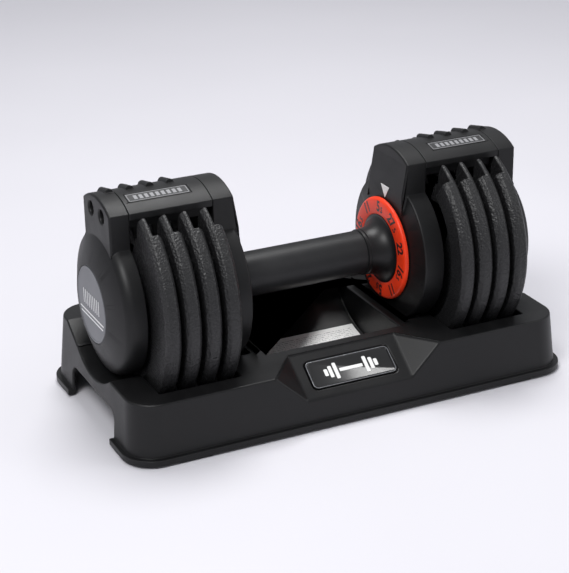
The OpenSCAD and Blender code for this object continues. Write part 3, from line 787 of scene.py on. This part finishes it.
class DUMBBELL_OT_grip(bpy.types.Operator):
    """Make the knurled grip and its end ring"""

    bl_idname = "dumbbell.grip"
    bl_label = "Knurled grip"

    def execute(self, context):
        low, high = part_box("handle_grip")
        size = sizes()
        radius = 0.0177
        start = low.x + 0.0026
        ribs = 2 * int(math.pi * radius * 2 / size.knurl_pitch) + 1
        rows = 2 * int((high.x - start) / size.knurl_pitch) + 1
        sleeve = knurl_tree().build(
            "grip_knurl", Length=high.x - start, Radius=radius, Depth=size.knurl_depth,
            Rows=rows, Ribs=ribs, Start=start, Height=AXIS_Z, Material=MATERIALS["grip"])
        bm = bmesh.new()
        bm.from_mesh(sleeve)
        bpy.data.meshes.remove(sleeve)
        smooth_core = lathe("grip_core", [
            (low.x + 0.0002, 0.0132), (high.x, 0.0132), (high.x, radius - 0.0003), (start, radius - 0.0003),
            (start, 0.0187),
            *[(low.x + 0.0024 - 0.0004 * i, 0.0189) for i in range(4)], (low.x, 0.0184), (low.x, 0.0140)])
        bm.from_mesh(smooth_core)
        bpy.data.meshes.remove(smooth_core)
        bmesh.ops.recalc_face_normals(bm, faces=bm.faces)
        mesh = bpy.data.meshes.new("grip_sleeve")
        bm.to_mesh(mesh)
        bm.free()
        new_piece("grip_sleeve", mesh, "grip", "handle", "grip_coating", "handle_grip")
        return {"FINISHED"}


class DUMBBELL_OT_dial(bpy.types.Operator):
    """Make the hub bell, the dial ring and its numerals"""

    bl_idname = "dumbbell.dial"
    bl_label = "Dial and hub"

    def execute(self, context):
        low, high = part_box("hub_cone")
        neck, wide = 0.0187, 0.0280
        x0, x1 = low.x, DIAL_X
        flare = []
        for i in range(17):
            t = i / 16
            flare.append((x0 + 0.0034 + (x1 - x0 - 0.0034) * math.sin(t * math.pi / 2),
                          neck + (wide - neck) * (1 - math.cos(t * math.pi / 2)) ** 0.92))
        hub = lathe("hub_bell", [
            (x0, 0.0135), (x0, neck - 0.0008), (x0 + 0.0004, neck - 0.0001), (x0 + 0.0018, neck),
            (x0 + 0.0022, neck - 0.0006), (x0 + 0.0028, neck - 0.0006)] + flare + [
            (x1 + 0.0034, wide), (x1 + 0.0034, DIAL_R - 0.005), (high.x, DIAL_R - 0.005),
            (high.x, 0.0135)])
        new_piece("hub_bell", hub, "hub", "handle", "hub_plastic", "hub_cone")
        ring = lathe("dial_face", [
            (x1 + 0.0034, wide), (x1 + 0.0010, wide), (x1 + 0.0003, wide + 0.0004), (x1, wide + 0.0010),
            (x1, DIAL_R - 0.0030), (x1 + 0.0002, DIAL_R - 0.0018), (x1 + 0.0007, DIAL_R - 0.0009),
            (x1 + 0.0014, DIAL_R - 0.0003), (x1 + 0.0022, DIAL_R), (x1 + 0.0034, DIAL_R),
            (x1 + 0.0040, DIAL_R - 0.0006), (x1 + 0.0040, wide)], 160)
        new_piece("dial_face", ring, "dial", "handle", "dial_orange", "dial_ring")
        self.numerals()
        return {"FINISHED"}

    def numerals(self):
        height = sizes().numeral
        depth = sizes().line
        bm = bmesh.new()
        middle = 0.5 * (0.0280 + DIAL_R) - 0.0006
        settings = (("5", ".5"), ("27", ".5"), ("22", ""), ("16", ".5"), ("11", ""))
        for place, (big, small) in enumerate(settings):
            width = 0.0
            parts = []
            for text, scale in ((big, 1.0), (small, 0.56)):
                if text:
                    mesh = digits(text, height * scale, depth)
                    xs = [v.co.x for v in mesh.vertices]
                    parts.append((mesh, width - min(xs), scale))
                    width += max(xs) - min(xs) + 0.0004
            turn = Matrix.Rotation(math.radians(36 * place), 4, "X")
            face = Matrix(((0, 0, -1, DIAL_X + 0.00002), (-1, 0, 0, 0), (0, 1, 0, middle), (0, 0, 0, 1)))
            for mesh, shift, scale in parts:
                mesh.transform(turn @ face @ Matrix.Translation((shift - width / 2, -height * 0.36, 0)))
                bm.from_mesh(mesh)
                bpy.data.meshes.remove(mesh)
        half = bpy.data.meshes.new("dial_numerals_half")
        bmesh.ops.recalc_face_normals(bm, faces=bm.faces)
        bm.to_mesh(half)
        bm.free()
        mesh = turn_tree("dial_numerals_twice").build(
            "dial_numerals", half, Count=2, Centre=(0, 0, AXIS_Z), Material=MATERIALS["ink"])
        new_piece("dial_numerals", mesh, None, "handle", "mark_black", "dial_marks")


def digits(text, height, depth):
    """Generic numerals as a closed thin mesh, narrowed a little; numerals() centres them"""
    curve = bpy.data.curves.new("digits", "FONT")
    curve.body = text
    curve.size = height * 1.38
    curve.extrude = depth / 2
    curve.offset = height * 0.05
    curve.space_character = 0.96
    curve.resolution_u = 4
    obj = bpy.data.objects.new("digits", curve)
    bpy.context.scene.collection.objects.link(obj)
    bpy.context.view_layer.update()
    mesh = bpy.data.meshes.new_from_object(obj.evaluated_get(bpy.context.evaluated_depsgraph_get()))
    bpy.data.objects.remove(obj)
    bpy.data.curves.remove(curve)
    bm = bmesh.new()
    bm.from_mesh(mesh)
    bmesh.ops.remove_doubles(bm, verts=bm.verts, dist=1e-7)
    bm.to_mesh(mesh)
    bm.free()
    mesh.transform(Matrix.Scale(0.86, 4, (1, 0, 0)))
    return mesh


class DUMBBELL_OT_collar(bpy.types.Operator):
    """Make the polished collar at the left end of the grip"""

    bl_idname = "dumbbell.collar"
    bl_label = "End collar"

    def execute(self, context):
        low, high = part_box("end_collar")
        radius = 0.5 * (high.y - low.y)
        outline = [(low.x, 0.0132), (low.x, radius - 0.0006), (low.x + 0.0005, radius)]
        x = low.x + 0.0012
        while x < high.x - 0.0014:
            outline += [(x, radius), (x + 0.0004, radius - 0.0005), (x + 0.0009, radius - 0.0005),
                        (x + 0.0013, radius)]
            x += 0.0022
        outline += [(high.x - 0.0004, radius), (high.x, radius - 0.0004), (high.x, 0.0132)]
        new_piece("collar_ring", lathe("collar_ring", outline), "collar", "handle",
                  "collar_steel", "end_collar")
        return {"FINISHED"}


class DUMBBELL_OT_badges(bpy.types.Operator):
    """Make the brushed badges with their plain printed pattern"""

    bl_idname = "dumbbell.badges"
    bl_label = "End badges"

    def execute(self, context):
        for side, sign in SIDES.items():
            low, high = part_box(f"{side}_cap_badge")
            radius = 0.5 * (high.y - low.y)
            out = high.x if sign > 0 else -low.x
            back = low.x if sign > 0 else -high.x
            disc = lathe("badge", [
                (back, 0.0002), (back, radius), (out - 0.0004, radius), (out, radius - 0.0005),
                (out, radius - 0.0016), (out - 0.00025, radius - 0.0020), (out - 0.00025, 0.0002)], 96)
            bm = bmesh.new()
            bm.from_mesh(disc)
            bmesh.ops.remove_doubles(bm, verts=bm.verts, dist=0.00015)
            bmesh.ops.holes_fill(bm, edges=bm.edges)
            bmesh.ops.recalc_face_normals(bm, faces=bm.faces)
            bm.to_mesh(disc)
            bm.free()
            if sign < 0:
                disc = mirrored(disc, "badge_left")
            new_piece(f"{side}_badge", disc, "badge", "head_frame", "badge_silver", f"{side}_cap_badge")
            new_piece(f"{side}_badge_lines", self.lines(side, sign, out - 0.00026, radius), None,
                      "head_frame", "badge_silver")
        return {"FINISHED"}

    def lines(self, side, sign, out, radius):
        """Upright bars across the badge, in a plain even pattern"""
        bm = bmesh.new()
        slab(bm, rounded_rect(0.0010, 0.0120, 0.0004, 2), 0.0002, Matrix.Identity(4))
        bar = bpy.data.meshes.new("badge_bar")
        bm.to_mesh(bar)
        bm.free()
        mesh = row_tree("badge_bars").build(
            "badge_bars", bar, Count=9, Start=(-0.0160, 0.0022, 0), Step=(0.0040, 0, 0),
            Material=MATERIALS["badge_print"])
        bm = bmesh.new()
        bm.from_mesh(mesh)
        bpy.data.meshes.remove(mesh)
        slab(bm, rounded_rect(0.0500, 0.0011, 0.0004, 2), 0.0002, Matrix.Translation((0, -0.0088, 0)))
        slab(bm, rounded_rect(0.0470, 0.0011, 0.0004, 2), 0.0002, Matrix.Translation((0, -0.0122, 0)))
        mesh = mesh_from(bm, f"{side}_badge_lines")
        face = Matrix(((0, 0, sign, sign * out), (sign, 0, 0, 0), (0, 1, 0, AXIS_Z), (0, 0, 0, 1)))
        mesh.transform(face)
        mesh.materials.append(MATERIALS["badge_print"])
        return mesh


class DUMBBELL_OT_labels(bpy.types.Operator):
    """Make the labels on the top covers"""

    bl_idname = "dumbbell.labels"
    bl_label = "Cover labels"

    def execute(self, context):
        for side, sign in SIDES.items():
            node = f"{side}_cover_label"
            low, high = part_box(node)
            thick, deep, slope = 0.0006, 0.011, 0.33
            rise = high.z - low.z - thick * math.cos(slope)
            tilt = math.asin(min(1.0, rise / deep))
            centre = Vector(((low.x + high.x) / 2, (low.y + high.y) / 2, (low.z + high.z) / 2))
            place = (Matrix.Translation(centre) @ Matrix.Rotation(tilt, 4, "X")
                     @ Matrix.Translation((0, 0, -thick / 2)))
            bm = bmesh.new()
            slab(bm, rounded_rect(high.x - low.x, deep, 0.0008), thick, place)
            new_piece(f"{side}_label_ground", mesh_from(bm, node), "label_ground", "head_frame",
                      "label_grey", node)
            lift = place @ Matrix.Translation((0, 0, 0.00058))
            bm = bmesh.new()
            frame_ring(bm, high.x - low.x - 0.0016, 0.0094, 0.0006, 0.00045, 0.00012, lift)
            for k in range(9):
                slant = Matrix.Shear("XY", 4, (0.32, 0))
                at = lift @ Matrix.Translation((0.0044 * (k - 4), 0, 0)) @ slant
                slab(bm, [(-0.0013, -0.0026), (0.0013, -0.0026), (0.0013, 0.0026), (-0.0013, 0.0026)],
                     0.00012, at)
            new_piece(f"{side}_label_print", mesh_from(bm, f"{side}_label_print"), "label",
                      "head_frame", "label_grey")
        return {"FINISHED"}


class DUMBBELL_OT_plaque(bpy.types.Operator):
    """Make the lacquered plaque with a plain weight symbol"""

    bl_idname = "dumbbell.plaque"
    bl_label = "Front plaque"

    def execute(self, context):
        low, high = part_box("tray_nameplate")
        tilt = math.atan2(0.0235, 0.033)
        centre = (low + high) / 2
        wide, tall = 0.0720, 0.0240
        place = (Matrix.Translation(centre) @ Matrix.Rotation(tilt, 4, "X")
                 @ Matrix.Translation((0, 0, -0.0008)))
        bm = bmesh.new()
        rings = (
            (wide, tall, 0.0040, 0.0), (wide, tall, 0.0040, 0.0013),
            (wide - 0.0006, tall - 0.0006, 0.0038, 0.0016),
            (wide - 0.0030, tall - 0.0030, 0.0028, 0.0016),
            (wide - 0.0036, tall - 0.0036, 0.0026, 0.0012))
        loops = [[bm.verts.new(place @ Vector((x, y, z))) for x, y in rounded_rect(w, h, r, 6)]
                 for w, h, r, z in rings]
        for a, b in zip(loops, loops[1:]):
            for i in range(len(a)):
                j = (i + 1) % len(a)
                bm.faces.new((a[i], a[j], b[j], b[i]))
        bm.faces.new(list(reversed(loops[0])))
        bm.faces.new(loops[-1])
        new_piece("plaque", mesh_from(bm, "plaque", 50), "gloss", "tray", "gloss_black", "tray_nameplate")
        lift = place @ Matrix.Translation((0, 0, 0.00118))
        bm = bmesh.new()
        for x, h in ((-0.0215, 0.0060), (-0.0175, 0.0100), (-0.0130, 0.0140), (0.0130, 0.0140),
                     (0.0175, 0.0100), (0.0215, 0.0060)):
            slab(bm, rounded_rect(0.0030, h, 0.0008, 3), 0.00014, lift @ Matrix.Translation((x, 0, 0)))
        slab(bm, rounded_rect(0.0200, 0.0028, 0.0006, 3), 0.00014, lift)
        new_piece("plaque_symbol", mesh_from(bm, "plaque_symbol"), "white", "tray", "gloss_black")
        bm = bmesh.new()
        frame_ring(bm, wide - 0.0008, tall - 0.0008, 0.0037, 0.0004, 0.00008,
                   place @ Matrix.Translation((0, 0, 0.00158)), 6)
        new_piece("plaque_edge", mesh_from(bm, "plaque_edge"), "bright", "tray", "gloss_black")
        return {"FINISHED"}


class DUMBBELL_OT_screws(bpy.types.Operator):
    """Make the socket-head tie screws"""

    bl_idname = "dumbbell.screws"
    bl_label = "Tie screws"

    def execute(self, context):
        for side in SIDES:
            node = f"{side}_tie_screws"
            new_piece(f"{side}_screws", softened(node, 0.0004, 2, 40.0), "screw", "head_frame",
                      "screw_steel", node)
        return {"FINISHED"}


class DUMBBELL_OT_stage(bpy.types.Operator):
    """Make the floor, the lights and the camera"""

    bl_idname = "dumbbell.stage"
    bl_label = "Stage"

    def execute(self, context):
        scene = context.scene
        mesh = bpy.data.meshes.new("floor")
        bm = bmesh.new()
        bmesh.ops.create_grid(bm, x_segments=2, y_segments=2, size=6.0)
        bm.to_mesh(mesh)
        bm.free()
        floor = bpy.data.objects.new("floor", mesh)
        scene.collection.objects.link(floor)
        s = Shader("floor_paper", (0.66, 0.65, 0.69), 0.75)
        cloud = s.noise(3.0, 2.0, 0.5)
        s.colour(s.mix(s.ramp(cloud, 0.3, 0.7, 0, 1), (0.655, 0.645, 0.685), (0.675, 0.665, 0.705)))
        mesh.materials.append(s.mat)
        world = bpy.data.worlds.new("studio")
        world.use_nodes = True
        ground = world.node_tree.nodes.get("Background") or world.node_tree.nodes.new("ShaderNodeBackground")
        ground.inputs["Color"].default_value = (0.93, 0.945, 1.0, 1)
        ground.inputs["Strength"].default_value = 0.42
        scene.world = world
        for name, place, aim, size, power in (
                ("key_light", (-0.9, -0.7, 1.5), (0, 0, 0.08), 0.7, 18.0),
                ("top_light", (0.2, 0.5, 1.7), (0, 0, 0.10), 0.8, 20.0),
                ("fill_light", (1.4, -0.9, 0.9), (0, 0, 0.08), 1.0, 5.0)):
            light = bpy.data.lights.new(name, "AREA")
            light.shape = "DISK"
            light.size = size
            light.energy = power
            obj = bpy.data.objects.new(name, light)
            obj.location = place
            obj.rotation_euler = (Vector(aim) - Vector(place)).to_track_quat("-Z", "Y").to_euler()
            scene.collection.objects.link(obj)
        camera = bpy.data.cameras.new("camera")
        camera.sensor_width = 36.0
        camera.sensor_fit = "AUTO"
        camera.lens = 107.44
        camera.clip_start = 0.05
        camera.clip_end = 50.0
        obj = bpy.data.objects.new("camera", camera)
        scene.collection.objects.link(obj)
        azimuth, height, roll = math.radians(25.452), math.radians(22.909), math.radians(-0.885)
        back = Vector((-math.sin(azimuth) * math.cos(height), -math.cos(azimuth) * math.cos(height),
                       math.sin(height)))
        right = Vector((math.cos(azimuth), -math.sin(azimuth), 0))
        up = back.cross(right)
        r2 = right * math.cos(roll) + up * math.sin(roll)
        u2 = -right * math.sin(roll) + up * math.cos(roll)
        place = Vector((-0.02016, 0, 0.0792)) + back * 1.3529
        obj.matrix_world = Matrix((
            (r2.x, u2.x, back.x, place.x), (r2.y, u2.y, back.y, place.y),
            (r2.z, u2.z, back.z, place.z), (0, 0, 0, 1)))
        scene.camera = obj
        scene.view_settings.view_transform = "Standard"
        scene.view_settings.look = "None"
        return {"FINISHED"}


class DUMBBELL_PT_panel(bpy.types.Panel):
    """Lists the dumbbell's pieces in the sidebar"""

    bl_idname = "DUMBBELL_PT_panel"
    bl_label = "Dumbbell"
    bl_space_type = "VIEW_3D"
    bl_region_type = "UI"
    bl_category = "Dumbbell"

    def draw(self, context):
        layout = self.layout
        for group in (context.scene.dumbbell_finish, context.scene.dumbbell_sizes):
            for key in group.__annotations__:
                layout.prop(group, key)
        for operator in OPERATORS:
            layout.operator(operator.bl_idname)


OPERATORS = (
    DUMBBELL_OT_materials, DUMBBELL_OT_tray, DUMBBELL_OT_heads, DUMBBELL_OT_covers,
    DUMBBELL_OT_plates, DUMBBELL_OT_grip, DUMBBELL_OT_dial, DUMBBELL_OT_collar,
    DUMBBELL_OT_badges, DUMBBELL_OT_labels, DUMBBELL_OT_plaque, DUMBBELL_OT_screws,
    DUMBBELL_OT_stage,
)
CLASSES = (DumbbellFinish, DumbbellSizes, *OPERATORS, DUMBBELL_PT_panel)


def register():
    for cls in CLASSES:
        bpy.utils.register_class(cls)
    bpy.types.Scene.dumbbell_finish = bpy.props.PointerProperty(type=DumbbellFinish)
    bpy.types.Scene.dumbbell_sizes = bpy.props.PointerProperty(type=DumbbellSizes)


def unregister():
    del bpy.types.Scene.dumbbell_sizes
    del bpy.types.Scene.dumbbell_finish
    for cls in reversed(CLASSES):
        bpy.utils.unregister_class(cls)


def main():
    register()
    for operator in OPERATORS:
        group, name = operator.bl_idname.split(".")
        getattr(getattr(bpy.ops, group), name)()


if __name__ == "__main__":
    main()
